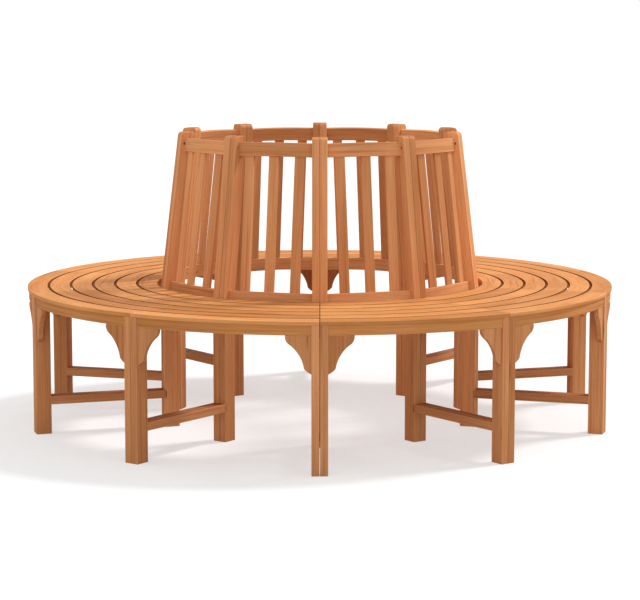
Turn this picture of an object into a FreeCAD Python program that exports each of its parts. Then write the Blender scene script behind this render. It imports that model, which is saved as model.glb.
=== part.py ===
import FreeCAD, Part
import math
import os
import re
import Sketcher

os.makedirs("parts", exist_ok=True)

# Tree bench: two half-rounds of five bays each, standing round a trunk.
# Z is up, the floor is Z = 0 and the trunk's axis is X = Y = 0. The front is -Y.
# Ten radial joints carry doubled boards, one board from the bay on each side.
# Every piece is drawn once, in a joint's own axes: X runs outward along the joint,
# Y runs along the seat into the bay, which reaches from 0 to bay_angle round Z.

doc = FreeCAD.newDocument("TreeBench")
sheet = doc.addObject("Spreadsheet::Sheet", "Sizes")

BAY_COUNT = 10
SPLIT_JOINTS = (1, 1 + BAY_COUNT // 2)
SEAT_SLATS = 6
BACK_SLATS = 3

SIZES = [
    # Plan of the bench
    ("bay_angle", 36, "angle of one bay, a tenth of the round"),
    ("half_gap", 2, "gap between the outer legs and slats of the two half-rounds"),
    ("outer_leg_radius", 1001, "outer face of the outer legs"),
    ("inner_leg_radius", 560, "outer face of the back legs below the seat"),
    ("leg_depth", 51, "radial depth of every leg board"),
    ("outer_board", 25.5, "thickness of an outer leg board"),
    ("inner_board", 25, "thickness of a back leg, arm or stretcher board"),
    # Seat
    ("seat_height", 475, "top of the seat"),
    ("seat_radius", 1002, "outer edge of the seat"),
    ("seat_inner_radius", 561, "inner edge of the seat, just clear of the back legs"),
    ("slat_thickness", 12, "thickness of a seat slat"),
    ("slat_pitch", 75.4, "radial step from slat to slat"),
    ("slat_gap", 9, "gap between slats"),
    # Apron and corbels
    ("apron_radius", 998, "outer face of the curved apron"),
    ("apron_thickness", 22, "radial thickness of the apron"),
    ("apron_height", 31.5, "height of the apron under the seat"),
    ("corbel_radius", 995.5, "front face of a corbel"),
    ("corbel_thickness", 16, "thickness of a corbel"),
    ("corbel_width", 80, "reach of a corbel from its leg"),
    ("corbel_height", 119, "drop of a corbel below the apron"),
    ("corbel_nose_width", 65, "reach where the upper bead ends"),
    ("corbel_nose_drop", 29.5, "drop where the upper bead ends"),
    ("corbel_toe_width", 22.5, "reach where the lower bead starts"),
    ("corbel_toe_drop", 101.5, "drop where the lower bead starts"),
    ("corbel_bead_radius", 31, "radius of the upper bead"),
    ("corbel_hollow_radius", 112, "radius of the hollow between the beads"),
    ("corbel_toe_radius", 60, "radius of the lower bead"),
    # Arms, stretchers and their tenons
    ("arm_height", 45, "height of a seat arm"),
    ("stretcher_bottom", 99, "underside of a stretcher above the floor"),
    ("stretcher_height", 28, "height of a stretcher"),
    ("tenon_length", 25, "depth of a tenon in a leg's face"),
    ("tenon_thickness", 8, "thickness of a tenon"),
    ("tenon_shoulder", 7, "shoulder above and below a tenon"),
    ("side_tenon_length", 16, "depth of an apron or rail tenon in a board's side"),
    # Leaning back
    ("post_height", 999, "top of the back legs"),
    ("lean_angle", 7, "lean of the back towards the trunk"),
    ("post_corner_radius", 13, "rounding of a post's top corners"),
    ("rail_radius", 460, "bending radius of a rail's outer face"),
    ("rail_thickness", 22, "thickness of a rail"),
    ("rail_height", 45, "height of a rail along the lean"),
    ("rail_tenon_inset", 6, "shoulder all round a rail's tenon"),
    ("panel_radius", 540.5, "outer face of the lower rail at mid bay"),
    ("panel_level", 502.5, "top of the lower rail at mid bay"),
    ("panel_height", 483.5, "top of lower rail to top of upper rail, along the lean"),
    ("back_slat_width", 33, "width of a back slat"),
    ("back_slat_thickness", 10.5, "thickness of a back slat"),
    ("back_slat_spacing", 85, "sideways step between back slats"),
    ("back_slat_tenon", 12, "length of a back slat's tenon"),
    # Connector bolts, sunk in the boards on both sides
    ("bolt_radius", 2.5, "radius of a connector bolt's shank"),
    ("bolt_bore_radius", 2.7, "radius of the bore for it"),
    ("bolt_head_radius", 4.0, "radius of its head and of its sleeve nut"),
    ("bolt_recess_radius", 4.3, "radius of the recess that hides them"),
    ("bolt_recess_depth", 14, "depth of that recess"),
    ("bolt_head_height", 5, "height of a bolt's head"),
    ("nut_length", 12, "length of a sleeve nut"),
    ("nut_end", 3, "closed end of a sleeve nut"),
    ("bolt_end_space", 1, "space left between a bolt's tip and that end"),
    ("post_bolt_height", 961, "height of the bolt through the posts"),
    ("post_bolt_inset", 14, "its distance from the posts' outer face"),
    ("leg_bolt_height", 380, "height of the bolt through the back legs"),
    # Screws that hold the seat slats down from below
    ("screw_radius", 2, "radius of a slat screw"),
    ("screw_length", 30, "length of a slat screw under its head"),
    ("screw_bite", 9, "how far a screw enters its slat"),
    ("screw_head_radius", 4, "radius of a screw head"),
    ("screw_head_height", 2.5, "height of a screw head"),
    ("screw_recess_radius", 4.3, "radius of the recess for a screw head"),
    ("screw_edge", 8, "distance of the outermost screw from the outer leg"),
    # Sizes of waste blocks that trim pieces and show on none of them
    ("waste_size", 1200, "size of a trimming block"),
    ("rail_sweep", 50, "angle a rail is drawn over before its ends are cut"),
]

for row, (alias, value, note) in enumerate(SIZES, start=1):
    sheet.set(f"A{row}", note)
    sheet.set(f"B{row}", str(value))
    sheet.setAlias(f"B{row}", alias)
doc.recompute()

# Lengths that are written often, in terms of the sheet
SEAT_UNDERSIDE = "(seat_height - slat_thickness)"
APRON_BOTTOM = f"({SEAT_UNDERSIDE} - apron_height)"
ARM_BOTTOM = f"({SEAT_UNDERSIDE} - arm_height)"
LEG_GAP_START = "inner_leg_radius"
LEG_GAP_END = "(outer_leg_radius - leg_depth)"
LEAN_RUN = f"((post_height - {SEAT_UNDERSIDE}) * tan(lean_angle))"
LEAN_DEPTH = "(leg_depth / cos(lean_angle))"
INNER_BEND_DROP = "((leg_depth / cos(lean_angle) - leg_depth) / tan(lean_angle))"


def in_sheet(text):
    """Point every name with an underscore at its cell in the sheet."""
    return re.sub(r"[a-z]+(?:_[a-z]+)+", r"Sizes.\g<0>", text)


def bind(item, **expressions):
    for name, text in expressions.items():
        item.setExpression(name.replace("__", "."), in_sheet(text))


def size(text):
    """The number that an expression in the sheet's names gives now."""
    return float(sheet.evalExpression(re.sub(r"Sizes\.", "", in_sheet(text))))


def box(name, low, lengths):
    item = doc.addObject("Part::Box", name)
    bind(item, Length=lengths[0], Width=lengths[1], Height=lengths[2])
    bind(item, Placement__Base__x=low[0], Placement__Base__y=low[1], Placement__Base__z=low[2])
    return item


def cylinder(name, radius, height, **more):
    item = doc.addObject("Part::Cylinder", name)
    bind(item, Radius=radius, Height=height, **more)
    return item


def rod(name, radius, start, end, along, across):
    """A cylinder parallel to Y from start to end, at X = along and Z = across."""
    item = cylinder(name, radius, f"({end}) - ({start})")
    item.Placement = FreeCAD.Placement(FreeCAD.Vector(), FreeCAD.Rotation(FreeCAD.Vector(1, 0, 0), -90))
    bind(item, Placement__Base__x=along, Placement__Base__y=start, Placement__Base__z=across)
    return item


def upright(name, radius, bottom, height, along, across):
    """A vertical cylinder at X = along and Y = across."""
    item = cylinder(name, radius, height)
    bind(item, Placement__Base__x=along, Placement__Base__y=across, Placement__Base__z=bottom)
    return item


def cut(name, base, tool):
    item = doc.addObject("Part::Cut", name)
    item.Base = base
    item.Tool = tool
    return item


def fuse(name, pieces):
    item = doc.addObject("Part::MultiFuse", name)
    item.Shapes = pieces
    item.Refine = True
    return item


def group(name, pieces):
    item = doc.addObject("Part::Compound", name)
    item.Links = pieces
    return item


def across_joint(name, source):
    """The same piece on the other side of the joint."""
    item = doc.addObject("Part::Mirroring", name)
    item.Source = source
    item.Normal = FreeCAD.Vector(0, 1, 0)
    return item


def across_bay(name, source):
    """The same piece at the bay's other end."""
    item = across_joint(name, source)
    bind(item, Normal__x="-sin(bay_angle / 2)", Normal__y="cos(bay_angle / 2)")
    return item


def both_ends(name, piece):
    return fuse(name, [piece, across_bay(name + "_far", piece)])


def ring(name, outer, inner, bottom, height, sweep):
    """A flat curved board: the sector between two radii."""
    outside = cylinder(name + "_outside", outer, height, Angle=sweep, Placement__Base__z=bottom)
    inside = cylinder(name + "_inside", inner, height, Angle=sweep, Placement__Base__z=bottom)
    return cut(name, outside, inside)


def body_plane(body, role):
    return next(item for item in body.Origin.OriginFeatures if item.Role == role)


def arc_between(start, end, radius):
    """The short arc from start to end: positive radius turns left, negative turns right."""
    chord = end - start
    rise = math.sqrt(radius ** 2 - (chord.Length / 2) ** 2)
    left = FreeCAD.Vector(-chord.y, chord.x, 0).normalize()
    centre = (start + end) / 2 + left * math.copysign(rise, radius)
    first, last = (start, end) if radius > 0 else (end, start)
    angles = [math.atan2(point.y - centre.y, point.x - centre.x) for point in (first, last)]
    circle = Part.Circle(centre, FreeCAD.Vector(0, 0, 1), abs(radius))
    return Part.ArcOfCircle(circle, angles[0], angles[1])


def padded_outline(name, role, corners, thickness, reversed_pad=False):
    """A board cut to an outline.

    Each corner is (x, y, radius) in the sheet's names, where radius is that of the arc that
    leads to the next corner, or None for a straight edge.
    """
    body = doc.addObject("PartDesign::Body", name)
    sketch = body.newObject("Sketcher::SketchObject", name + "_outline")
    sketch.AttachmentSupport = [(body_plane(body, role), "")]
    sketch.MapMode = "FlatFace"
    points = [FreeCAD.Vector(size(x), size(y), 0) for x, y, _ in corners]
    starts = []
    ends = []
    for number, (x, y, radius) in enumerate(corners):
        start = points[number]
        end = points[(number + 1) % len(points)]
        if radius is None:
            sketch.addGeometry(Part.LineSegment(start, end))
            turns_left = True
        else:
            sketch.addGeometry(arc_between(start, end, size(radius)))
            turns_left = size(radius) > 0
        starts.append(1 if turns_left else 2)
        ends.append(2 if turns_left else 1)
    for number in range(len(corners)):
        following = (number + 1) % len(corners)
        joined = Sketcher.Constraint("Coincident", number, ends[number], following, starts[following])
        sketch.addConstraint(joined)
    for number, (x, y, radius) in enumerate(corners):
        for kind, text, axis in (("DistanceX", x, -2), ("DistanceY", y, -1)):
            distance = size(text)
            if abs(distance) < 1e-9:
                on_axis = Sketcher.Constraint("PointOnObject", number, starts[number], axis)
                sketch.addConstraint(on_axis)
                continue
            placed = Sketcher.Constraint(kind, -1, 1, number, starts[number], distance)
            index = sketch.addConstraint(placed)
            sketch.setExpression(f"Constraints[{index}]", in_sheet(text))
        if radius is not None:
            curved = Sketcher.Constraint("Radius", number, abs(size(radius)))
            index = sketch.addConstraint(curved)
            sketch.setExpression(f"Constraints[{index}]", in_sheet(f"abs({radius})"))
    pad = body.newObject("PartDesign::Pad", name + "_pad")
    pad.Profile = sketch
    pad.Reversed = reversed_pad
    bind(pad, Length=thickness)
    doc.recompute()
    return body, sketch, pad


# Tenons. Each is drawn once, then joined to its own piece and cut out of its neighbour.

def leg_tenons(name, bottom, height):
    """Tenons at both ends of a radial board, one in each leg."""
    return box(
        name,
        (f"{LEG_GAP_START} - tenon_length",
         "(inner_board - tenon_thickness) / 2",
         f"{bottom} + tenon_shoulder"),
        (f"{LEG_GAP_END} - {LEG_GAP_START} + 2 * tenon_length",
         "tenon_thickness",
         f"{height} - 2 * tenon_shoulder"),
    )


def radial_board(name, bottom, height, tenons):
    body = box(name + "_board", (LEG_GAP_START, "0", bottom),
               (f"{LEG_GAP_END} - {LEG_GAP_START}", "inner_board", height))
    return fuse(name + "_blank", [body, tenons])


arm_tenons = leg_tenons("arm_tenons", ARM_BOTTOM, "arm_height")
stretcher_tenons = leg_tenons("stretcher_tenons", "stretcher_bottom", "stretcher_height")

apron_tenon = box(
    "apron_tenon",
    ("apron_radius - apron_thickness / 2 - tenon_thickness / 2",
     "outer_board - side_tenon_length",
     f"{APRON_BOTTOM} + tenon_shoulder"),
    ("tenon_thickness", "2 * side_tenon_length", "apron_height - 2 * tenon_shoulder"),
)

corbel_tenon = box(
    "corbel_tenon",
    ("corbel_radius - corbel_thickness / 2 - tenon_thickness / 2",
     "outer_board - tenon_thickness",
     f"{APRON_BOTTOM} - corbel_toe_drop"),
    ("tenon_thickness", "2 * tenon_thickness", "corbel_toe_drop - tenon_shoulder"),
)


# The back panel of a bay is drawn about the axis its rails are bent round. That axis lies in
# the bay's mid plane and leans with the back.

def onto_panel(item):
    bind(
        item,
        Placement__Rotation__Yaw="bay_angle / 2",
        Placement__Rotation__Pitch="-lean_angle",
        Placement__Base__x="(panel_radius - rail_radius * cos(lean_angle)) * cos(bay_angle / 2)",
        Placement__Base__y="(panel_radius - rail_radius * cos(lean_angle)) * sin(bay_angle / 2)",
        Placement__Base__z="panel_level - rail_radius * sin(lean_angle)",
    )
    return item


def panel_ring(name, outer, inner, bottom, height):
    item = ring(name, outer, inner, bottom, height, "rail_sweep")
    for half in (item.Base, item.Tool):
        half.Placement = FreeCAD.Placement(FreeCAD.Vector(), FreeCAD.Rotation(FreeCAD.Vector(0, 0, 1), -1))
        bind(half, Placement__Rotation__Angle="-rail_sweep / 2", Placement__Base__z=bottom)
    return onto_panel(item)


def end_waste(name, board):
    """What lies beyond a board's side face at both ends of the bay."""
    near = box(name + "_near", ("0", f"{board} - waste_size", "0"), ("waste_size",) * 3)
    return both_ends(name, near)


rail_waste = end_waste("rail_waste", "inner_board")
rail_tenon_waste = end_waste("rail_tenon_waste", "inner_board - side_tenon_length")


def rail_tenons(name, bottom):
    tongue = panel_ring(
        name + "_tongue",
        "rail_radius - rail_tenon_inset",
        "rail_radius - rail_thickness + rail_tenon_inset",
        f"{bottom} + rail_tenon_inset",
        "rail_height - 2 * rail_tenon_inset",
    )
    return cut(name, tongue, rail_tenon_waste)


LOWER_RAIL_BOTTOM = "(0 - rail_height)"
UPPER_RAIL_BOTTOM = "(panel_height - rail_height)"
lower_rail_tenons = rail_tenons("lower_rail_tenons", LOWER_RAIL_BOTTOM)
upper_rail_tenons = rail_tenons("upper_rail_tenons", UPPER_RAIL_BOTTOM)


# Connector bolts. A stepped bore runs through each board of a pair: the bore for the shank,
# and a recess from the side that hides the bolt's head or its sleeve nut.

POST_BOLT_RADIUS = (
    f"(inner_leg_radius - (post_bolt_height - {SEAT_UNDERSIDE}) * tan(lean_angle) - post_bolt_inset)"
)
LEG_BOLT_RADIUS = "(inner_leg_radius - leg_depth / 2)"
ARM_BOLT_HEIGHT = f"({SEAT_UNDERSIDE} - arm_height / 2)"
ARM_BOLT_GAPS = (2, 5)
BOLT_SEAT = "(inner_board - bolt_recess_depth)"


def slat_gap_radius(number):
    """Middle of the gap inside the slat of that number, counted from the outside."""
    return f"(seat_radius - {number} * slat_pitch + slat_gap / 2)"


BOLT_PLACES = {
    "post": [(POST_BOLT_RADIUS, "post_bolt_height")],
    "leg": [(LEG_BOLT_RADIUS, "leg_bolt_height")],
    "arm": [(slat_gap_radius(number), ARM_BOLT_HEIGHT) for number in ARM_BOLT_GAPS],
}


def bolt_bores(name):
    bores = []
    for number, place in enumerate(BOLT_PLACES[name], start=1):
        label = f"{name}_bore_{number}"
        bores.append(rod(label, "bolt_bore_radius", "0", "inner_board", *place))
        bores.append(rod(label + "_recess", "bolt_recess_radius", BOLT_SEAT, "inner_board", *place))
    return bores


def bolts(name):
    """Bolts of one joint: heads on the +Y side, shanks through to the nuts."""
    pieces = []
    tip = f"nut_end + bolt_end_space - nut_length - {BOLT_SEAT}"
    crown = f"{BOLT_SEAT} + bolt_head_height"
    for number, place in enumerate(BOLT_PLACES[name], start=1):
        label = f"{name}_bolt_{number}"
        shank = rod(label + "_shank", "bolt_radius", tip, BOLT_SEAT, *place)
        head = rod(label + "_head", "bolt_head_radius", BOLT_SEAT, crown, *place)
        pieces.append(fuse(label, [shank, head]))
    return group(f"{name}_bolts_of_joint", pieces)


def nuts(name):
    """Sleeve nuts of one joint, sunk in the -Y side and closed at their outer end."""
    pieces = []
    seat = f"0 - {BOLT_SEAT}"
    back = f"{seat} - nut_length"
    for number, place in enumerate(BOLT_PLACES[name], start=1):
        label = f"{name}_nut_{number}"
        sleeve = rod(label + "_sleeve", "bolt_head_radius", back, seat, *place)
        thread = rod(label + "_thread", "bolt_bore_radius", f"{back} + nut_end", seat, *place)
        pieces.append(cut(label, sleeve, thread))
    return group(f"{name}_nuts_of_joint", pieces)


# Outer leg: a straight board with mortises for the arm, stretcher, apron and corbel.

def make_outer_leg():
    board = box("outer_leg_board", (LEG_GAP_END, "0", "0"), ("leg_depth", "outer_board", SEAT_UNDERSIDE))
    mortises = fuse("outer_leg_mortises", [arm_tenons, stretcher_tenons, apron_tenon, corbel_tenon])
    return cut("outer_leg", board, mortises)


# Back leg: one board from the floor to the top of the back, bent at the seat.

def make_back_leg():
    outer_top = f"inner_leg_radius - {LEAN_RUN}"
    body, _, pad = padded_outline(
        "back_leg_board",
        "XZ_Plane",
        [
            ("inner_leg_radius - leg_depth", "0", None),
            ("inner_leg_radius", "0", None),
            ("inner_leg_radius", SEAT_UNDERSIDE, None),
            (outer_top, "post_height", None),
            (f"{outer_top} - {LEAN_DEPTH}", "post_height", None),
            ("inner_leg_radius - leg_depth", f"{SEAT_UNDERSIDE} - {INNER_BEND_DROP}", None),
        ],
        "inner_board",
        reversed_pad=True,
    )
    top = size("post_height")
    top_corners = [
        f"Edge{number}"
        for number, edge in enumerate(pad.Shape.Edges, start=1)
        if edge.BoundBox.ZMin > top - 0.01 and edge.BoundBox.XLength < 0.01
    ]
    rounding = body.newObject("PartDesign::Fillet", "post_top_rounding")
    rounding.Base = (pad, top_corners)
    bind(rounding, Radius="post_corner_radius")
    bores = bolt_bores("post") + bolt_bores("leg")
    removed = [arm_tenons, stretcher_tenons, lower_rail_tenons, upper_rail_tenons] + bores
    return cut("back_leg", body, fuse("back_leg_cuts", removed))


# Slat screws go up through a seat arm, their heads sunk in its underside.

def slat_radius_inside(number):
    """Inner edge of a seat slat. The innermost one is narrower, to clear the back legs."""
    if number == SEAT_SLATS:
        return "seat_inner_radius"
    return f"(seat_radius - {number} * slat_pitch + slat_gap)"


def screw_radius_place(number):
    """The outermost screw stands just inside the outer leg, the others under their slat's middle."""
    if number == 1:
        return f"({LEG_GAP_END} - screw_edge)"
    outside = f"(seat_radius - {number - 1} * slat_pitch)"
    return f"(({outside} + {slat_radius_inside(number)}) / 2)"


SCREW_HEAD_LEVEL = f"({SEAT_UNDERSIDE} + screw_bite - screw_length)"


def make_screws():
    pieces = []
    for number in range(1, SEAT_SLATS + 1):
        place = (screw_radius_place(number), "inner_board / 2")
        shank = upright(f"screw_{number}_shank", "screw_radius", SCREW_HEAD_LEVEL, "screw_length", *place)
        bottom = f"{SCREW_HEAD_LEVEL} - screw_head_height"
        head = upright(f"screw_{number}_head", "screw_head_radius", bottom, "screw_head_height", *place)
        pieces.append(fuse(f"screw_{number}", [shank, head]))
    return pieces


screws = make_screws()


def screw_recesses():
    recesses = []
    for number in range(1, SEAT_SLATS + 1):
        place = (screw_radius_place(number), "inner_board / 2")
        depth = f"{SCREW_HEAD_LEVEL} - {ARM_BOTTOM}"
        recesses.append(upright(f"screw_recess_{number}", "screw_recess_radius", ARM_BOTTOM, depth, *place))
    return recesses


# Seat arm and stretcher: radial boards between the legs.

def make_arm():
    blank = radial_board("arm", ARM_BOTTOM, "arm_height", arm_tenons)
    return cut("arm", blank, fuse("arm_cuts", screws + screw_recesses() + bolt_bores("arm")))


def make_stretcher():
    return radial_board("stretcher", "stretcher_bottom", "stretcher_height", stretcher_tenons)


# Corbel: a bracket under the apron with two beads and a hollow between them.

def make_corbel():
    top = APRON_BOTTOM
    body, sketch, _ = padded_outline(
        "corbel_board",
        "YZ_Plane",
        [
            ("outer_board", top, None),
            ("outer_board", f"{top} - corbel_height", "corbel_toe_radius"),
            ("outer_board + corbel_toe_width", f"{top} - corbel_toe_drop", "-corbel_hollow_radius"),
            ("outer_board + corbel_nose_width", f"{top} - corbel_nose_drop", "corbel_bead_radius"),
            ("outer_board + corbel_width", top, None),
        ],
        "corbel_thickness",
    )
    bind(sketch, AttachmentOffset__Base__z="corbel_radius - corbel_thickness")
    return fuse("corbel", [body, corbel_tenon])


# Seat slats and apron: curved boards that reach across the bay.

def make_seat_slat(number):
    outer = f"seat_radius - {number - 1} * slat_pitch"
    slat = ring(f"seat_slat_{number}_board", outer, slat_radius_inside(number), SEAT_UNDERSIDE,
                "slat_thickness", "bay_angle")
    pilot_holes = both_ends(f"seat_slat_{number}_pilots", screws[number - 1])
    return cut(f"seat_slat_{number}", slat, pilot_holes)


def make_apron():
    board = ring("apron_board", "apron_radius", "apron_radius - apron_thickness", APRON_BOTTOM,
                 "apron_height", "bay_angle")
    trimmed = cut("apron_trimmed", board, end_waste("apron_waste", "outer_board"))
    return fuse("apron", [trimmed, apron_tenon, across_bay("apron_tenon_far", apron_tenon)])


# Back slats: straight and parallel, each turned to follow the bend of the rails.

def make_back_slat(number):
    """The slat, and its tenoned core by itself, which is cut out of both rails."""
    step = number - (BACK_SLATS + 1) / 2
    inset = "(rail_thickness - back_slat_thickness) / 2"
    depth = f"rail_radius - {inset} - back_slat_thickness"
    face = box(f"back_slat_{number}_face", (depth, "0 - back_slat_width / 2", "0"),
               ("back_slat_thickness", "back_slat_width", UPPER_RAIL_BOTTOM))
    core = box(
        f"back_slat_{number}_core",
        ("rail_radius - rail_thickness / 2 - tenon_thickness / 2",
         "tenon_shoulder - back_slat_width / 2",
         "0 - back_slat_tenon"),
        ("tenon_thickness",
         "back_slat_width - 2 * tenon_shoulder",
         f"{UPPER_RAIL_BOTTOM} + 2 * back_slat_tenon"),
    )
    swung = []
    for part, pieces in (("slat", [fuse(f"back_slat_{number}_blank", [face, core])]), ("tenons", [core])):
        turned = group(f"back_{part}_{number}_turned", pieces)
        turned.Placement = FreeCAD.Placement(FreeCAD.Vector(), FreeCAD.Rotation(FreeCAD.Vector(0, 0, 1), 1))
        angle = f"asin({step} * back_slat_spacing / (rail_radius - rail_thickness / 2))"
        bind(turned, Placement__Rotation__Angle=angle)
        swung.append(onto_panel(group(f"back_{part}_{number}", [turned])))
    return swung


back_slats, back_slat_tenons = zip(*(make_back_slat(number) for number in range(1, BACK_SLATS + 1)))


def make_rail(name, bottom, tenons):
    inner = "rail_radius - rail_thickness"
    board = panel_ring(name + "_board", "rail_radius", inner, bottom, "rail_height")
    trimmed = cut(name + "_trimmed", board, rail_waste)
    tenoned = fuse(name + "_tenoned", [trimmed, tenons])
    return cut(name, tenoned, fuse(name + "_mortises", list(back_slat_tenons)))


# Joint 1 is at the front and joint 6 at the back. There the two half-rounds meet: their arms,
# stretchers and back legs touch, and their outer legs and seat slats stop short of each other.

half_slit = box("half_slit", ("0", "0", "0"), ("waste_size", "half_gap / 2", "waste_size"))
half_slit_far = across_bay("half_slit_far", half_slit)


def make_slats_of_bay(number):
    """The seat slats of one bay, cut back at the end where its half-round stops."""
    if number in SPLIT_JOINTS:
        slit = half_slit
    elif number % BAY_COUNT + 1 in SPLIT_JOINTS:
        slit = half_slit_far
    else:
        return seat_slats
    return [cut(f"bay_{number}_{slat.Name}", slat, slit) for slat in seat_slats]


# Placing the pieces round the trunk

def round_trunk(label, number, pieces):
    item = group(label, pieces)
    item.Placement = FreeCAD.Placement(FreeCAD.Vector(), FreeCAD.Rotation(FreeCAD.Vector(0, 0, 1), 1))
    bind(item, Placement__Rotation__Angle=f"{number - 1} * bay_angle - 90")
    return item


outer_leg = make_outer_leg()
back_leg = make_back_leg()
arm = make_arm()
stretcher = make_stretcher()
corbel = make_corbel()
seat_slats = [make_seat_slat(number) for number in range(1, SEAT_SLATS + 1)]
apron = make_apron()
lower_rail = make_rail("lower_rail", LOWER_RAIL_BOTTOM, lower_rail_tenons)
upper_rail = make_rail("upper_rail", UPPER_RAIL_BOTTOM, upper_rail_tenons)
split_outer_leg = cut("split_outer_leg", outer_leg, half_slit)


def both_sides(*pieces):
    """The boards of a joint: each piece and its mirror image on the joint's other side."""
    return list(pieces) + [across_joint(piece.Name + "_far_side", piece) for piece in pieces]


corbels = both_sides(corbel)
outer_legs = both_sides(outer_leg)
split_outer_legs = both_sides(split_outer_leg)
back_legs = both_sides(back_leg)
arms_and_stretchers = both_sides(arm, stretcher)
panel = [lower_rail, upper_rail] + list(back_slats)

nodes = []
for number in range(1, BAY_COUNT + 1):
    joint = f"joint_{number:02d}"
    bay = f"bay_{number:02d}"
    legs = split_outer_legs if number in SPLIT_JOINTS else outer_legs
    nodes += [
        round_trunk(f"{joint}_outer_legs_and_corbels", number, legs + corbels),
        round_trunk(f"{joint}_back_legs", number, back_legs),
        round_trunk(f"{joint}_arms_and_stretchers", number, arms_and_stretchers),
        round_trunk(f"{bay}_seat_slats_and_apron", number, make_slats_of_bay(number) + [apron]),
        round_trunk(f"{bay}_back_panel", number, panel),
    ]


def fastener_node(label, pieces):
    """One node with the same fasteners at all ten joints."""
    places = [round_trunk(f"{label}_{number:02d}", number, pieces) for number in range(1, BAY_COUNT + 1)]
    return group(label, places)


for name in BOLT_PLACES:
    nodes.append(fastener_node(f"{name}_bolts", [bolts(name)]))
    nodes.append(fastener_node(f"{name}_sleeve_nuts", [nuts(name)]))
nodes.append(fastener_node("seat_slat_screws", both_sides(*screws)))

doc.recompute()

for item in doc.Objects:
    if {"Invalid", "Error"} & set(item.State):
        raise RuntimeError(f"{item.Label} failed: {item.State}")

for node in nodes:
    solids = node.Shape.Solids
    if not solids or not all(solid.isValid() and solid.Volume > 0 for solid in solids):
        raise RuntimeError(f"{node.Label} has no valid solid")
    shape = Part.makeCompound(solids)
    shape.exportStep(f"parts/{node.Label}.step")
    print(node.Label, len(solids), "solids", round(shape.Volume / 1e6, 3), "litres")

print(len(nodes), "nodes")
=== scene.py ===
import math
import random

import bmesh
import bpy
from mathutils import Matrix, Vector


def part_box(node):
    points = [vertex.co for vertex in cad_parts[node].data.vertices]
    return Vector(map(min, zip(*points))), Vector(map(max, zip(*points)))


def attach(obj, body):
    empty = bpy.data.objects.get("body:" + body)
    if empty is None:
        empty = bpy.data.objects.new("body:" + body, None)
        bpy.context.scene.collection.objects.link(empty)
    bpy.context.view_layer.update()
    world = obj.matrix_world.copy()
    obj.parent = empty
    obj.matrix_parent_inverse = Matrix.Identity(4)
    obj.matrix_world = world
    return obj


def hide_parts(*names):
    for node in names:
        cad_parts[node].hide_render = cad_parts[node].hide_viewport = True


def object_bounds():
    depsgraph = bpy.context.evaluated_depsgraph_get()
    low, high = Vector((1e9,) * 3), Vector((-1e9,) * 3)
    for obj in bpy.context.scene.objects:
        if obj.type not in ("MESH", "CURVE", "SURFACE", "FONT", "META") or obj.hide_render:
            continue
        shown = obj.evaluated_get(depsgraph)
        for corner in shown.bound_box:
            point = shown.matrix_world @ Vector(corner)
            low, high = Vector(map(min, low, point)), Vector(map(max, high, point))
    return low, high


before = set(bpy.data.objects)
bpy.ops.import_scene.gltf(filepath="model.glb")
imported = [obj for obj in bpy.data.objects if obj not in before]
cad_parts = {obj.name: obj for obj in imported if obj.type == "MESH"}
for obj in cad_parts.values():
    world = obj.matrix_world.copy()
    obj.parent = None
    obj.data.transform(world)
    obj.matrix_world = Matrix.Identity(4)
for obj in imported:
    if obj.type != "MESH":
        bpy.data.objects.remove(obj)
cad_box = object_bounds()

MM = 0.001

# The round: ten joints with doubled boards, and a bay from each joint to the next
BAYS = 10
BAY_ANGLE = math.radians(360 / BAYS)
FIRST_JOINT = math.radians(-90)
SPLIT_JOINTS = (1, 1 + BAYS // 2)
HALF_SLIT = 1 * MM

# Heights, radii and boards, from the solids that they stand for
POST_TOP = cad_box[1].z
SEAT_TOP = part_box("bay_01_seat_slats_and_apron")[1].z
APRON_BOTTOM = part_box("bay_01_seat_slats_and_apron")[0].z
LEG_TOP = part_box("joint_01_outer_legs_and_corbels")[1].z
SEAT_RADIUS = cad_box[1].y
OUTER_LEG_RADIUS = 1001 * MM
INNER_LEG_RADIUS = 560 * MM
LEG_DEPTH = 51 * MM
OUTER_BOARD = 25.5 * MM
INNER_BOARD = 25 * MM
SLATS = 6
SLAT_PITCH = 75.4 * MM
SLAT_GAP = 9 * MM
SEAT_INNER_RADIUS = 561 * MM
APRON_RADIUS = 998 * MM
APRON_THICKNESS = 22 * MM
ARM_HEIGHT = 45 * MM
STRETCHER_BOTTOM = 99 * MM
STRETCHER_HEIGHT = 28 * MM
CORBEL_RADIUS = 995.5 * MM
CORBEL_THICKNESS = 16 * MM
CORBEL_SIZE = (80 * MM, 119 * MM)
CORBEL_NOSE = (65 * MM, 29.5 * MM)
CORBEL_TOE = (22.5 * MM, 101.5 * MM)
CORBEL_RADII = (31 * MM, 112 * MM, 60 * MM)
SOCKET = 8 * MM

# Leaning back
LEAN = math.radians(7)
POST_ROUNDING = 13 * MM
RAIL_RADIUS = 460 * MM
RAIL_THICKNESS = 22 * MM
RAIL_HEIGHT = 45 * MM
PANEL_RADIUS = 540.5 * MM
PANEL_LEVEL = 502.5 * MM
PANEL_HEIGHT = 483.5 * MM
BACK_SLATS = 3
BACK_SLAT_WIDTH = 33 * MM
BACK_SLAT_THICKNESS = 10.5 * MM
BACK_SLAT_SPACING = 85 * MM

# Recesses for bolts, and for the slat screws under the arms
RECESS_RADIUS = 4.3 * MM
BOLT_RECESS = 14 * MM
POST_BOLT_HEIGHT = 961 * MM
POST_BOLT_INSET = 14 * MM
LEG_BOLT_HEIGHT = 380 * MM
ARM_BOLT_GAPS = (2, 5)
SCREW_RECESS = 24 * MM
SCREW_EDGE = 8 * MM

# Eased edges of most boards, of the seat slats, and of the arms and aprons under them
EASE = 1.6 * MM
SLAT_EASE = 1.2 * MM
UNDER_SEAT_EASE = 1.5 * MM
SHARP_EDGE = math.radians(28)

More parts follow.
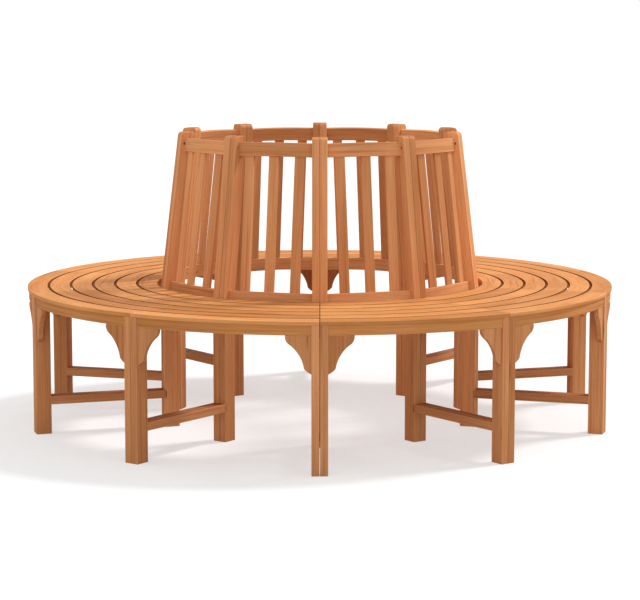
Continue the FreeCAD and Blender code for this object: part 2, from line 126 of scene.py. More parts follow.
# Steps along arcs, sides of a round recess, and how much large faces lead in the shading, up to 100
ARC_STEP = math.radians(1.5)
RECESS_SIDES = 20
LARGE_FACES_LEAD = 60

# How much boards differ in tone, how dark the seams are, and how much painted shade darkens the sides of
# slats in gaps and the tops of low boards under the seat, from 0 to 1
TONE_SPREAD = 0.55
SEAM_GRIME = 0.35
GAP_SHADE = 0.85
UNDER_SEAT_SHADE = 0.5

# Metres: where in a trunk a board was cut, along the grain, aside of the pith and above or below it
CUT_ALONG = 40
CUT_ASIDE = (0.08, 0.2)
CUT_ABOVE = 0.05

# The cosine from which a face counts as turned a way, and the one from which it cuts across the grain
TURNED = 0.6
ACROSS_GRAIN = 0.8

chance = random.Random(36)


def arc(centre, radius, start, end):
    """Points on an arc from one angle to the other, both ends included."""
    steps = max(2, round(abs(end - start) / ARC_STEP))
    return [
        (centre[0] + radius * math.cos(start + (end - start) * step / steps),
         centre[1] + radius * math.sin(start + (end - start) * step / steps))
        for step in range(steps + 1)
    ]


def arc_between(start, end, radius, steps=8):
    """Points on the short arc from start to end: it bulges to the right if radius is positive."""
    start, end = Vector(start), Vector(end)
    chord = end - start
    rise = math.sqrt(radius ** 2 - (chord.length / 2) ** 2)
    left = Vector((-chord.y, chord.x)).normalized()
    centre = (start + end) / 2 + left * math.copysign(rise, radius)
    first = start - centre
    turn = first.angle_signed(end - centre)
    return [tuple(centre + Matrix.Rotation(-turn * step / steps, 2) @ first) for step in range(steps + 1)]


def rectangle(left, bottom, right, top):
    return [(left, bottom), (right, bottom), (right, top), (left, top)]


# Where a point of a board lies along the grain, and across it

def along_x(point):
    return point.x, point.y


def along_y(point):
    return point.y, point.x


def up_the_post(point):
    """Upwards, and across from a line that leans in with the post."""
    return point.y, point.x + max(0.0, lean_in(point.y))


def round_the_seat(point):
    """Along the curve of a board whose middle lies on Y, and across from the seat's edge."""
    return SEAT_RADIUS * math.atan2(point.x, point.y), math.hypot(point.x, point.y) - SEAT_RADIUS


def round_the_rail(point):
    return RAIL_RADIUS * math.atan2(point.x, point.y), math.hypot(point.x, point.y) - RAIL_RADIUS


# How much painted shade darkens a face, from 0 to 1, by its normal and its centre

def unshaded(normal, centre):
    return 0.0


# Tops of arms and stretchers under the seat get painted shade
def shaded_under_seat(normal, centre):
    return UNDER_SEAT_SHADE if normal.y > TURNED else 0.0


def dark_sides(outer_side, inner_side):
    """A curved slat gets painted shade on the sides that face a gap to the next slat."""
    def shade_and_seams(normal, centre):
        outward = normal.dot(Vector((centre.x, centre.y, 0)).normalized())
        in_gap = outward > TURNED and outer_side or outward < -TURNED and inner_side
        return GAP_SHADE if in_gap else 0.0
    return shade_and_seams


class Board:
    """A board cut to an outline, with eased edges and drilled recesses.

    It lies in its own axes: the outline in X and Y, the thickness along Z.
    """

    def __init__(self, outline, thickness, grain=along_x, recesses=(), ease=EASE, shade_and_seams=unshaded):
        shape = bmesh.new()
        eased = shape.faces.layers.float.new("eased")
        face = shape.faces.new([shape.verts.new((x, y, 0)) for x, y in outline])
        raised = bmesh.ops.extrude_face_region(shape, geom=[face])["geom"]
        top = [item for item in raised if isinstance(item, bmesh.types.BMVert)]
        bmesh.ops.translate(shape, vec=(0, 0, thickness), verts=top)
        bmesh.ops.recalc_face_normals(shape, faces=shape.faces)
        sharp = [edge for edge in shape.edges if edge.calc_face_angle(0) > SHARP_EDGE]
        rounded = bmesh.ops.bevel(shape, geom=sharp, offset=ease, segments=2, profile=0.5,
                                  affect="EDGES", clamp_overlap=True)
        for face in rounded["faces"]:
            face[eased] = 1.0
        mesh = bpy.data.meshes.new("board")
        shape.to_mesh(mesh)
        shape.free()
        if recesses:
            mesh = drilled(mesh, recesses)
        self.points = [v.co.copy() for v in mesh.vertices]
        self.grain = [grain(point) for point in self.points]
        self.faces = [tuple(p.vertices) for p in mesh.polygons]
        self.centres = [p.center.copy() for p in mesh.polygons]
        self.ends = [ends_grain(grain, p.normal, p.center) for p in mesh.polygons]
        self.edges = [item.value for item in mesh.attributes["eased"].data]
        self.shade_and_seams = [shade_and_seams(p.normal, p.center) for p in mesh.polygons]
        bpy.data.meshes.remove(mesh)


def ends_grain(grain, normal, centre):
    """1 where a face cuts across the grain, as at a board's ends."""
    reach = 1 * MM
    step = normal * reach
    along = grain(centre + step)[0] - grain(centre - step)[0]
    return 1.0 if abs(along) > ACROSS_GRAIN * 2 * reach else 0.0


def drilled(mesh, recesses):
    """The mesh with round blind recesses, each given as (centre, direction, radius, depth)."""
    board = bpy.data.objects.new("board", mesh)
    cutters = bmesh.new()
    clear = 1 * MM
    for centre, direction, radius, depth in recesses:
        turn = Vector(direction).to_track_quat("Z", "Y").to_matrix().to_4x4()
        place = Matrix.Translation(centre) @ turn @ Matrix.Translation((0, 0, (clear - depth) / 2))
        bmesh.ops.create_cone(cutters, cap_ends=True, segments=RECESS_SIDES, radius1=radius,
                              radius2=radius, depth=depth + clear, matrix=place)
    cutter_mesh = bpy.data.meshes.new("cutters")
    cutters.to_mesh(cutter_mesh)
    cutters.free()
    cutter = bpy.data.objects.new("cutters", cutter_mesh)
    for item in (board, cutter):
        bpy.context.scene.collection.objects.link(item)
    cut = board.modifiers.new("recesses", "BOOLEAN")
    cut.operation = "DIFFERENCE"
    cut.object = cutter
    cut.solver = "EXACT"
    bpy.context.view_layer.update()
    result = bpy.data.meshes.new_from_object(board.evaluated_get(bpy.context.evaluated_depsgraph_get()))
    for item in (board, cutter):
        bpy.data.objects.remove(item)
    bpy.data.meshes.remove(mesh)
    bpy.data.meshes.remove(cutter_mesh)
    return result


def from_joint(point):
    """Distance of a point from the middle plane of the nearest joint."""
    angle = (math.atan2(point.y, point.x) - FIRST_JOINT) % BAY_ANGLE
    return math.hypot(point.x, point.y) * math.sin(min(angle, BAY_ANGLE - angle))


class Piece:
    """Boards joined into one object, each with its own run of grain and its own tone."""

    def __init__(self, name):
        self.name = name
        self.points = []
        self.faces = []
        self.grain = []
        self.tone = []
        self.ends = []
        self.edges = []
        self.shade_and_seams = []

    def add(self, board, place):
        first = len(self.points)
        start = chance.uniform(0, CUT_ALONG)
        pith = (chance.choice((-1, 1)) * chance.uniform(*CUT_ASIDE), chance.uniform(-CUT_ABOVE, CUT_ABOVE))
        tone = max(-1.0, min(1.0, chance.gauss(0.0, TONE_SPREAD)))
        for point, (along, across) in zip(board.points, board.grain):
            self.points.append(place @ point)
            self.grain.append((start + along, across - pith[0], point.z - pith[1]))
        flipped = place.determinant() < 0
        for face in board.faces:
            order = tuple(reversed(face)) if flipped else face
            self.faces.append([first + index for index in order])
        self.tone += [tone] * len(board.faces)
        self.ends += board.ends
        self.edges += board.edges
        # Faces at a joint's middle plane get at least the dark seam line; the others keep their painted
        # shade
        for centre, shade_and_seams in zip(board.centres, board.shade_and_seams):
            in_seam = from_joint(place @ centre) < EASE
            self.shade_and_seams.append(max(shade_and_seams, SEAM_GRIME) if in_seam else shade_and_seams)

    def build(self, woods, slot, node):
        mesh = bpy.data.meshes.new(self.name)
        mesh.from_pydata(self.points, [], self.faces)
        grain = mesh.attributes.new("grain", "FLOAT_VECTOR", "POINT")
        grain.data.foreach_set("vector", [number for spot in self.grain for number in spot])
        layers = (("tone", self.tone), ("end_grain", self.ends), ("edge", self.edges), ("shade_and_seams", self.shade_and_seams))
        for name, values in layers:
            mesh.attributes.new(name, "FLOAT", "FACE").data.foreach_set("value", values)
        mesh.shade_smooth()
        mesh.materials.append(woods[slot])
        piece = bpy.data.objects.new(self.name, mesh)
        bpy.context.scene.collection.objects.link(piece)
        normals = piece.modifiers.new("even shading", "WEIGHTED_NORMAL")
        normals.weight = LARGE_FACES_LEAD
        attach(piece, "root")
        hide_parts(node)


class Nodes:
    """Short calls for building the node tree of a material or the world."""

    def __init__(self, owner):
        owner.use_nodes = True
        self.tree = owner.node_tree
        self.shader = self.tree.nodes.get("Principled BSDF")

    def put(self, socket, value):
        if isinstance(value, bpy.types.NodeSocket):
            self.tree.links.new(value, socket)
        else:
            socket.default_value = value

    def add(self, kind, inputs=(), output=0, **settings):
        node = self.tree.nodes.new(kind)
        for name, value in settings.items():
            setattr(node, name, value)
        for key, value in dict(inputs).items():
            self.put(node.inputs[key], value)
        return node.outputs[output]

    def maths(self, operation, first, second=0.0, clamp=False):
        return self.add("ShaderNodeMath", {0: first, 1: second}, operation=operation, use_clamp=clamp)

    def vector(self, operation, first, second):
        return self.add("ShaderNodeVectorMath", {0: first, 1: second}, operation=operation)

    def noise(self, where, scale, detail=2.0, roughness=0.5):
        """Noise whose grain is stretched: scale is repeats per metre along each axis."""
        spread = self.vector("MULTIPLY", where, scale)
        return self.add("ShaderNodeTexNoise", {"Vector": spread, "Scale": 1.0, "Detail": detail,
                                               "Roughness": roughness})

    def between(self, value, low, high, to_low=0.0, to_high=1.0):
        return self.add("ShaderNodeMapRange", {"Value": value, "From Min": low, "From Max": high,
                                               "To Min": to_low, "To Max": to_high})

    def blend(self, kind, amount, first, second):
        node = self.tree.nodes.new("ShaderNodeMix")
        node.data_type = "RGBA"
        node.blend_type = kind
        node.clamp_factor = True
        self.put(node.inputs[0], amount)
        self.put(node.inputs[6], first)
        self.put(node.inputs[7], second)
        return node.outputs[2]


def colour(red, green, blue):
    return (red, green, blue, 1.0)


# Teak from its dark lines to its light ones, and what knots and pores are like in it
DARK_LINES = colour(0.610, 0.245, 0.083)
MIDDLE_TONE = colour(0.715, 0.314, 0.113)
LIGHT_LINES = colour(0.790, 0.372, 0.144)
KNOTS = colour(0.220, 0.070, 0.022)
PORES = colour(0.330, 0.120, 0.038)

# What multiplies the teak in redder places, in veins, on cut ends, and in painted shade and dark seams;
# eased edges are lighter, partly from wear and partly as a painted highlight
REDDER = colour(0.92, 0.78, 0.64)
VEINS = colour(0.80, 0.62, 0.46)
CUT_ENDS = colour(0.72, 0.60, 0.50)
SHADE_AND_SEAM_COLOUR = colour(0.32, 0.22, 0.15)
EDGE_WEAR_AND_HIGHLIGHT = colour(0.16, 0.11, 0.05)

# For each wood its tint, and how dark its veins are from 0 to 1
WOODS = {
    "seat_wood": (colour(1.02, 1.00, 0.92), 1.0),
    "back_wood": (colour(1.09, 1.12, 1.30), 0.7),
    "leg_wood": (colour(0.98, 0.97, 1.10), 0.8),
}

STEEL = colour(0.20, 0.17, 0.15)
STAINED_STEEL = colour(0.12, 0.10, 0.085)


def teak(name, tint, veining):
    """Oiled teak. The attribute grain gives metres along the grain and across it from the pith."""
    material = bpy.data.materials.new(name)
    n = Nodes(material)
    grain = n.add("ShaderNodeAttribute", attribute_name="grain", output=1)
    tone, ends, edges, shade_and_seams = (
        n.add("ShaderNodeAttribute", attribute_name=layer, output=2)
        for layer in ("tone", "end_grain", "edge", "shade_and_seams")
    )

    drift = n.add("ShaderNodeTexNoise", {"Vector": n.vector("MULTIPLY", grain, (1.3, 5.0, 5.0)),
                                         "Scale": 1.0, "Detail": 2.0}, output=1)
    wander = n.vector("MULTIPLY", n.vector("SUBTRACT", drift, (0.5, 0.5, 0.5)), (0.0, 0.014, 0.014))
    wood = n.vector("ADD", grain, wander)
    from_pith = n.add("ShaderNodeVectorMath", {0: n.vector("MULTIPLY", wood, (0.0, 1.0, 1.0))},
                      operation="LENGTH", output=1)
    rings = n.add("ShaderNodeTexNoise", {"W": n.maths("MULTIPLY", from_pith, 330.0), "Scale": 1.0,
                                         "Detail": 2.0}, noise_dimensions="1D")
    streaks = n.noise(wood, (3.5, 150.0, 150.0), detail=2.0)
    fibre = n.noise(wood, (8.0, 700.0, 700.0), detail=2.0, roughness=0.6)
    pores = n.noise(wood, (60.0, 1700.0, 1700.0), detail=1.0)
    mottle = n.noise(grain, (4.0, 16.0, 16.0), detail=3.0)
    patches = n.noise(grain, (1.2, 9.0, 9.0), detail=2.0)

    # Rings, streaks and fibres add up to the place between dark and light lines
    figure = n.between(rings, 0.33, 0.67)
    lines = n.between(fibre, 0.34, 0.66)
    shade = n.maths("MULTIPLY", figure, 0.28)
    shade = n.maths("ADD", shade, n.maths("MULTIPLY", n.between(streaks, 0.33, 0.67), 0.28))
    shade = n.maths("ADD", shade, n.maths("MULTIPLY", lines, 0.44))

    ramp = n.tree.nodes.new("ShaderNodeValToRGB")
    n.put(ramp.inputs[0], shade)
    dark, light = ramp.color_ramp.elements
    dark.position = 0.12
    dark.color = DARK_LINES
    light.position = 0.92
    light.color = LIGHT_LINES
    middle = ramp.color_ramp.elements.new(0.5)
    middle.color = MIDDLE_TONE
    paint = ramp.outputs[0]

    # Patches and whole boards differ in tone, and the darker of them are redder
    soft = n.between(mottle, 0.3, 0.7, 0.95, 1.05)
    soft = n.maths("MULTIPLY", soft, n.between(patches, 0.3, 0.7, 0.90, 1.08))
    soft = n.maths("MULTIPLY", soft, n.between(tone, -1.0, 1.0, 0.82, 1.12))
    paint = n.blend("MULTIPLY", 1.0, paint, n.add("ShaderNodeCombineColor", {0: soft, 1: soft, 2: soft}))
    redder = n.between(n.maths("ADD", tone, n.between(patches, 0.35, 0.65, -0.5, 0.5)), 0.3, -1.3, 0.0, 0.7)
    paint = n.blend("MULTIPLY", redder, paint, REDDER)
    veins = n.between(n.noise(wood, (2.0, 105.0, 105.0), detail=2.0), 0.55, 0.70, 0.0, veining)
    paint = n.blend("MULTIPLY", veins, paint, VEINS)

    knot = n.tree.nodes.new("ShaderNodeTexVoronoi")
    n.put(knot.inputs["Vector"], n.vector("MULTIPLY", wood, (3.4, 24.0, 24.0)))
    n.put(knot.inputs["Scale"], 1.0)
    rare = n.between(n.add("ShaderNodeSeparateColor", {0: knot.outputs["Color"]}), 0.9, 0.905)
    spot = n.maths("MULTIPLY", rare, n.between(knot.outputs["Distance"], 0.16, 0.04))
    paint = n.blend("MIX", n.maths("MULTIPLY", spot, 0.7), paint, KNOTS)

    holes = n.between(pores, 0.62, 0.75, 0.0, 0.35)
    paint = n.blend("MIX", holes, paint, PORES)
    paint = n.blend("MULTIPLY", n.maths("MULTIPLY", ends, 0.8), paint, CUT_ENDS)
    # Eased edges are lightened, partly as wear and partly as a painted highlight
    paint = n.blend("SCREEN", n.maths("MULTIPLY", edges, 0.8), paint, EDGE_WEAR_AND_HIGHLIGHT)
    paint = n.blend("MULTIPLY", 1.0, paint, tint)
    # Painted shade in slat gaps and on tops under the seat, and dark seam lines at the joints
    paint = n.blend("MULTIPLY", shade_and_seams, paint, SHADE_AND_SEAM_COLOUR)
    n.put(n.shader.inputs["Base Color"], paint)

    n.put(n.shader.inputs["Roughness"], n.between(n.maths("ADD", lines, mottle), 0.4, 1.6, 0.72, 0.58))
    n.put(n.shader.inputs["Specular IOR Level"], 0.06)
    height = n.maths("ADD", n.maths("MULTIPLY", lines, 0.5), n.maths("MULTIPLY", holes, -1.0))
    height = n.maths("ADD", height, n.maths("MULTIPLY", figure, 0.35))
    bump = n.add("ShaderNodeBump", {"Strength": 0.3, "Distance": 0.0004, "Height": height})
    n.put(n.shader.inputs["Normal"], bump)
    return material


def steel():
    """Plain stainless fasteners, brushed and a little dull."""
    material = bpy.data.materials.new("fastener_steel")
    n = Nodes(material)
    where = n.add("ShaderNodeTexCoord", output="Object")
    brushed = n.noise(where, (900.0, 900.0, 3000.0), detail=2.0)
    stain = n.noise(where, (120.0, 120.0, 120.0), detail=3.0)
    paint = n.blend("MIX", n.between(stain, 0.35, 0.7), STEEL, STAINED_STEEL)
    n.put(n.shader.inputs["Base Color"], paint)
    n.put(n.shader.inputs["Metallic"], 1.0)
    n.put(n.shader.inputs["Roughness"], n.between(brushed, 0.3, 0.7, 0.28, 0.46))
    bump = n.add("ShaderNodeBump", {"Strength": 0.15, "Distance": 0.0001, "Height": brushed})
    n.put(n.shader.inputs["Normal"], bump)
    return material


# Boards. Upright ones have the outline's X along the joint and its Y up.

def outer_leg_board(set_back=0.0):
    inner = OUTER_LEG_RADIUS - LEG_DEPTH
    return Board(rectangle(inner, 0, OUTER_LEG_RADIUS, LEG_TOP), OUTER_BOARD - set_back, along_y)


def lean_in(height):
    """How far the back has leaned in at a height."""
    return (height - LEG_TOP) * math.tan(LEAN)


def rounded_corner(corner, before, after, radius, steps=5):
    corner, before, after = Vector(corner), Vector(before), Vector(after)
    to_before = (before - corner).normalized()
    to_after = (after - corner).normalized()
    half = to_before.angle(to_after) / 2
    reach = radius / math.tan(half)
    centre = corner + (to_before + to_after).normalized() * (radius / math.sin(half))
    first = corner + to_before * reach - centre
    turn = first.angle_signed(corner + to_after * reach - centre)
    return [tuple(centre + Matrix.Rotation(-turn * step / steps, 2) @ first) for step in range(steps + 1)]


def back_leg_board():
    outer = INNER_LEG_RADIUS
    inner = outer - LEG_DEPTH
    depth = LEG_DEPTH / math.cos(LEAN)
    outer_top = (outer - lean_in(POST_TOP), POST_TOP)
    inner_top = (outer_top[0] - depth, POST_TOP)
    outer_bend = (outer, LEG_TOP)
    inner_bend = (inner, LEG_TOP - (depth - LEG_DEPTH) / math.tan(LEAN))
    outline = [(inner, 0), (outer, 0), outer_bend]
    outline += rounded_corner(outer_top, outer_bend, inner_top, POST_ROUNDING)
    outline += rounded_corner(inner_top, outer_top, inner_bend, POST_ROUNDING)
    outline.append(inner_bend)
    post_bolt = (outer - lean_in(POST_BOLT_HEIGHT) - POST_BOLT_INSET, POST_BOLT_HEIGHT)
    leg_bolt = (outer - LEG_DEPTH / 2, LEG_BOLT_HEIGHT)
    recesses = [
        ((x, y, INNER_BOARD), (0, 0, 1), RECESS_RADIUS, BOLT_RECESS)
        for x, y in (post_bolt, leg_bolt)
    ]
    return Board(outline, INNER_BOARD, up_the_post, recesses)


def slat_edges(number):
    """Outer and inner radius of a seat slat, counted from the outside."""
    outer = SEAT_RADIUS - (number - 1) * SLAT_PITCH
    return outer, SEAT_INNER_RADIUS if number == SLATS else outer - SLAT_PITCH + SLAT_GAP


def arm_board():
    inner, outer = INNER_LEG_RADIUS - SOCKET, OUTER_LEG_RADIUS - LEG_DEPTH + SOCKET
    bottom = LEG_TOP - ARM_HEIGHT
    bolts = [SEAT_RADIUS - number * SLAT_PITCH + SLAT_GAP / 2 for number in ARM_BOLT_GAPS]
    screws = [sum(slat_edges(number)) / 2 for number in range(2, SLATS + 1)]
    screws.append(OUTER_LEG_RADIUS - LEG_DEPTH - SCREW_EDGE)
    middle = bottom + ARM_HEIGHT / 2
    recesses = [((x, middle, INNER_BOARD), (0, 0, 1), RECESS_RADIUS, BOLT_RECESS) for x in bolts]
    recesses += [((x, bottom, INNER_BOARD / 2), (0, -1, 0), RECESS_RADIUS, SCREW_RECESS) for x in screws]
    return Board(rectangle(inner, bottom, outer, LEG_TOP), INNER_BOARD, along_x, recesses,
                 ease=UNDER_SEAT_EASE, shade_and_seams=shaded_under_seat)


def stretcher_board():
    inner, outer = INNER_LEG_RADIUS - SOCKET, OUTER_LEG_RADIUS - LEG_DEPTH + SOCKET
    bottom = STRETCHER_BOTTOM
    return Board(rectangle(inner, bottom, outer, bottom + STRETCHER_HEIGHT), INNER_BOARD, shade_and_seams=shaded_under_seat)


def corbel_board():
    """A bracket with two beads and a hollow. Its outline's X runs along the apron from the joint."""
    side, top = OUTER_BOARD, APRON_BOTTOM
    toe_end = (side, top - CORBEL_SIZE[1])
    toe = (side + CORBEL_TOE[0], top - CORBEL_TOE[1])
    nose = (side + CORBEL_NOSE[0], top - CORBEL_NOSE[1])
    tip = (side + CORBEL_SIZE[0], top)
    bead, hollow, toe_bead = CORBEL_RADII
    hidden = side - SOCKET / 2
    outline = [(hidden, top), (hidden, toe_end[1])]
    outline += arc_between(toe_end, toe, toe_bead)
    outline += arc_between(toe, nose, -hollow, steps=12)[1:]
    outline += arc_between(nose, tip, bead)[1:]
    return Board(outline, CORBEL_THICKNESS, along_y)


def across_the_bay(outer, inner, near, far):
    """A curved board's outline. It stops near and far short of the bay's two joint planes.

    The bay's middle lies along Y.
    """
    half = BAY_ANGLE / 2
    start, end = math.pi / 2 - half, math.pi / 2 + half
    outside = arc((0, 0), outer, start + math.asin(near / outer), end - math.asin(far / outer))
    inside = arc((0, 0), inner, end - math.asin(far / inner), start + math.asin(near / inner))
    return outside + inside


def seat_slat_board(number, near, far):
    outline = across_the_bay(*slat_edges(number), near, far)
    shade_and_seams = dark_sides(number > 1, number < SLATS)
    return Board(outline, SEAT_TOP - LEG_TOP, round_the_seat, ease=SLAT_EASE, shade_and_seams=shade_and_seams)


def apron_board():
    stop = OUTER_BOARD - SOCKET / 2
    outline = across_the_bay(APRON_RADIUS, APRON_RADIUS - APRON_THICKNESS, stop, stop)
    return Board(outline, LEG_TOP - APRON_BOTTOM, round_the_seat, ease=UNDER_SEAT_EASE)


def rail_board(level):
    """A curved rail of the back, whose ends stop inside the posts."""
    axis = PANEL_RADIUS - RAIL_RADIUS - level * math.sin(LEAN)
    middle = RAIL_RADIUS - RAIL_THICKNESS / 2
    stop = INNER_BOARD - SOCKET
    reach = BAY_ANGLE / 2 - math.asin((stop - axis * math.sin(BAY_ANGLE / 2)) / middle)
    start, end = math.pi / 2 - reach, math.pi / 2 + reach
    outline = arc((0, 0), RAIL_RADIUS, start, end) + arc((0, 0), RAIL_RADIUS - RAIL_THICKNESS, end, start)
    return Board(outline, RAIL_HEIGHT, round_the_rail)


def back_slat_board():
    """A straight slat that stands between the rails and ends inside them."""
    half = BACK_SLAT_WIDTH / 2
    outline = rectangle(-half, -SOCKET, half, PANEL_HEIGHT - RAIL_HEIGHT + SOCKET)
    return Board(outline, BACK_SLAT_THICKNESS, along_y)


# Where boards stand in a joint's or a bay's own axes: X outward, Y along the seat, Z up

def axes(x_axis, y_axis, z_axis):
    return Matrix((x_axis, y_axis, z_axis)).transposed().to_4x4()


UPRIGHT_ALONG_JOINT = axes((1, 0, 0), (0, 0, 1), (0, 1, 0))
FACING_OUT = axes((0, 1, 0), (0, 0, 1), (1, 0, 0))
FROM_MID_BAY = Matrix.Rotation(BAY_ANGLE / 2 - math.pi / 2, 4, "Z")
ACROSS_JOINT = Matrix.Scale(-1, 4, (0, 1, 0))
PANEL_AXIS = (PANEL_RADIUS - RAIL_RADIUS * math.cos(LEAN), 0, PANEL_LEVEL - RAIL_RADIUS * math.sin(LEAN))
PANEL = (
    Matrix.Rotation(BAY_ANGLE / 2, 4, "Z")
    @ Matrix.Translation(PANEL_AXIS)
    @ Matrix.Rotation(-LEAN, 4, "Y")
)
PANEL_FROM_MID = PANEL @ Matrix.Rotation(-math.pi / 2, 4, "Z")


def round_trunk(number):
    return Matrix.Rotation(FIRST_JOINT + (number - 1) * BAY_ANGLE, 4, "Z")


def build_joint(number, boards, woods):
    legs = Piece(f"outer_legs_{number:02d}")
    posts = Piece(f"back_legs_{number:02d}")
    arms = Piece(f"arms_and_stretchers_{number:02d}")
    set_back = HALF_SLIT if number in SPLIT_JOINTS else 0.0
    outer_leg = boards["split_outer_leg" if number in SPLIT_JOINTS else "outer_leg"]
    corbel_back = Matrix.Translation((CORBEL_RADIUS - CORBEL_THICKNESS, 0, 0))
    for side in (round_trunk(number), round_trunk(number) @ ACROSS_JOINT):
        legs.add(outer_leg, side @ Matrix.Translation((0, set_back, 0)) @ UPRIGHT_ALONG_JOINT)
        legs.add(boards["corbel"], side @ corbel_back @ FACING_OUT)
        posts.add(boards["back_leg"], side @ UPRIGHT_ALONG_JOINT)
        arms.add(boards["arm"], side @ UPRIGHT_ALONG_JOINT)
        arms.add(boards["stretcher"], side @ UPRIGHT_ALONG_JOINT)
    joint = f"joint_{number:02d}"
    legs.build(woods, "leg_wood", f"{joint}_outer_legs_and_corbels")
    posts.build(woods, "back_wood", f"{joint}_back_legs")
    arms.build(woods, "leg_wood", f"{joint}_arms_and_stretchers")


def build_seat(number, boards, woods):
    """A bay's seat in two pieces: the outer slats with the apron, and the inner slats."""
    near = HALF_SLIT if number in SPLIT_JOINTS else 0.0
    far = HALF_SLIT if number % BAYS + 1 in SPLIT_JOINTS else 0.0
    on_top = round_trunk(number) @ Matrix.Translation((0, 0, LEG_TOP)) @ FROM_MID_BAY
    outer = Piece(f"seat_outer_{number:02d}")
    inner = Piece(f"seat_inner_{number:02d}")
    for slat in range(1, SLATS + 1):
        piece = outer if slat <= SLATS // 2 else inner
        piece.add(seat_slat_board(slat, near, far), on_top)
    under = round_trunk(number) @ Matrix.Translation((0, 0, APRON_BOTTOM)) @ FROM_MID_BAY
    outer.add(boards["apron"], under)
    for piece in (outer, inner):
        piece.build(woods, "seat_wood", f"bay_{number:02d}_seat_slats_and_apron")


def build_back_panel(number, boards, woods):
    panel = Piece(f"back_panel_{number:02d}")
    lying = round_trunk(number) @ PANEL_FROM_MID
    panel.add(boards["lower_rail"], lying @ Matrix.Translation((0, 0, -RAIL_HEIGHT)))
    panel.add(boards["upper_rail"], lying @ Matrix.Translation((0, 0, PANEL_HEIGHT - RAIL_HEIGHT)))
    depth = RAIL_RADIUS - (RAIL_THICKNESS + BACK_SLAT_THICKNESS) / 2
    standing = Matrix.Translation((depth, 0, 0)) @ FACING_OUT
    for slat in range(BACK_SLATS):
        step = slat - (BACK_SLATS - 1) / 2
        turn = math.asin(step * BACK_SLAT_SPACING / (RAIL_RADIUS - RAIL_THICKNESS / 2))
        place = round_trunk(number) @ PANEL @ Matrix.Rotation(turn, 4, "Z") @ standing
        panel.add(boards["back_slat"], place)
    panel.build(woods, "back_wood", f"bay_{number:02d}_back_panel")


def build_bench():
    woods = {slot: teak(slot, tint, veining) for slot, (tint, veining) in WOODS.items()}
    boards = {
        "outer_leg": outer_leg_board(),
        "split_outer_leg": outer_leg_board(set_back=HALF_SLIT),
        "corbel": corbel_board(),
        "back_leg": back_leg_board(),
        "arm": arm_board(),
        "stretcher": stretcher_board(),
        "apron": apron_board(),
        "lower_rail": rail_board(-RAIL_HEIGHT / 2),
        "upper_rail": rail_board(PANEL_HEIGHT - RAIL_HEIGHT / 2),
        "back_slat": back_slat_board(),
    }
    for number in range(1, BAYS + 1):
        build_joint(number, boards, woods)
        build_seat(number, boards, woods)
        build_back_panel(number, boards, woods)


def dress_fasteners():
    metal = steel()
    for name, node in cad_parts.items():
        if not name.startswith(("joint_", "bay_")):
            node.data.materials.clear()
            node.data.materials.append(metal)


# Surroundings: an even sky and two lamps

SKY = 0.7
KEY = {"level": 0.66, "elevation": 50, "azimuth": 30, "softness": 11}
FRONT = {"level": 0.03, "elevation": 35, "azimuth": -90, "softness": 30}

# How much light the floor returns to the bench, how pale it shows, its glow and its half width in metres
FLOOR_BOUNCE = 0.6
FLOOR_SEEN = 0.5
FLOOR_GLOW = 0.52
FLOOR_REACH = 60

# The camera's place in metres, its tilt down in degrees, and its sensor and lens in millimetres
CAMERA_PLACE = (0.0006, -7.547, 1.4025)
CAMERA_TILT = 7.498
SENSOR_WIDTH = 36
FOCAL_LENGTH = 123.6


def camera_sees(n):
    """1 for rays that show the background: from the camera, in a gloss or through glass."""
    path = n.tree.nodes.new("ShaderNodeLightPath")
    seen = n.maths("MAXIMUM", path.outputs["Is Camera Ray"], path.outputs["Is Glossy Ray"])
    return n.maths("MAXIMUM", seen, path.outputs["Is Transmission Ray"])


def make_world():
    world = bpy.data.worlds.new("studio")
    bpy.context.scene.world = world
    n = Nodes(world)
    background = n.tree.nodes["Background"]
    n.put(background.inputs["Color"], colour(1, 1, 1))
    n.put(background.inputs["Strength"], n.between(camera_sees(n), 0.0, 1.0, SKY, 1.0))


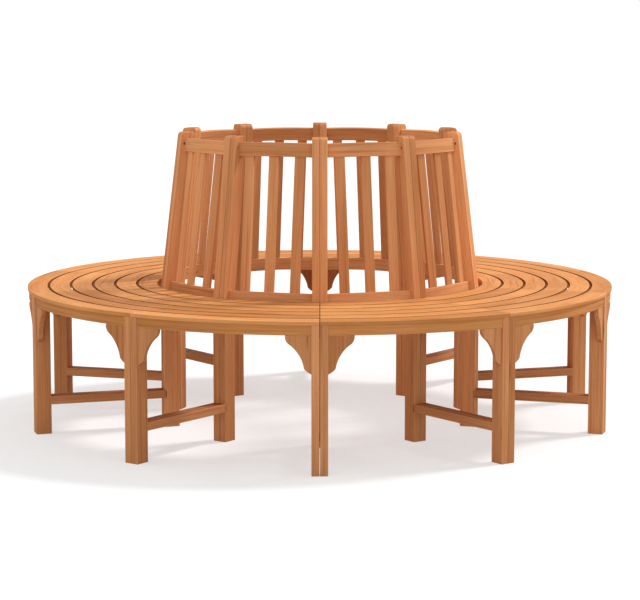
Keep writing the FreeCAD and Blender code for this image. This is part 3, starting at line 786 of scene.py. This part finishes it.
def make_floor():
    """A pale floor that shows nearly white round the bench and keeps a light shadow."""
    corners = rectangle(-FLOOR_REACH, -FLOOR_REACH, FLOOR_REACH, FLOOR_REACH)
    mesh = bpy.data.meshes.new("floor")
    mesh.from_pydata([(x, y, 0) for x, y in corners], [], [(0, 1, 2, 3)])
    floor = bpy.data.objects.new("floor", mesh)
    bpy.context.scene.collection.objects.link(floor)
    material = bpy.data.materials.new("pale_floor")
    n = Nodes(material)
    seen, bounced = (colour(level, level, level) for level in (FLOOR_SEEN, FLOOR_BOUNCE))
    to_camera = camera_sees(n)
    n.put(n.shader.inputs["Base Color"], n.blend("MIX", to_camera, bounced, seen))
    n.put(n.shader.inputs["Roughness"], 1.0)
    n.put(n.shader.inputs["Specular IOR Level"], 0.0)
    n.put(n.shader.inputs["Emission Color"], colour(1, 1, 1))
    n.put(n.shader.inputs["Emission Strength"], n.maths("MULTIPLY", to_camera, FLOOR_GLOW))
    mesh.materials.append(material)


def make_lamp(name, level, elevation, azimuth, softness):
    """A far, soft lamp. Its level is what a white face turned to it shows, its angles are degrees."""
    lamp = bpy.data.lights.new(name, "SUN")
    lamp.energy = level * math.pi
    lamp.angle = math.radians(softness)
    raised = Matrix.Rotation(math.radians(-elevation), 3, "Y") @ Vector((1, 0, 0))
    towards = Matrix.Rotation(math.radians(azimuth), 3, "Z") @ raised
    placed = bpy.data.objects.new(name, lamp)
    placed.rotation_euler = towards.to_track_quat("Z", "Y").to_euler()
    bpy.context.scene.collection.objects.link(placed)


def make_camera():
    """The photograph's view: from the front and above, level across and tilted down."""
    lens = bpy.data.cameras.new("camera")
    lens.sensor_width = SENSOR_WIDTH
    lens.lens = FOCAL_LENGTH
    camera = bpy.data.objects.new("camera", lens)
    camera.location = CAMERA_PLACE
    camera.rotation_euler = (math.radians(90 - CAMERA_TILT), 0, 0)
    bpy.context.scene.collection.objects.link(camera)
    bpy.context.scene.camera = camera


build_bench()
dress_fasteners()
make_world()
make_floor()
make_lamp("key", **KEY)
make_lamp("front", **FRONT)
make_camera()
bpy.context.scene.view_settings.view_transform = "Standard"
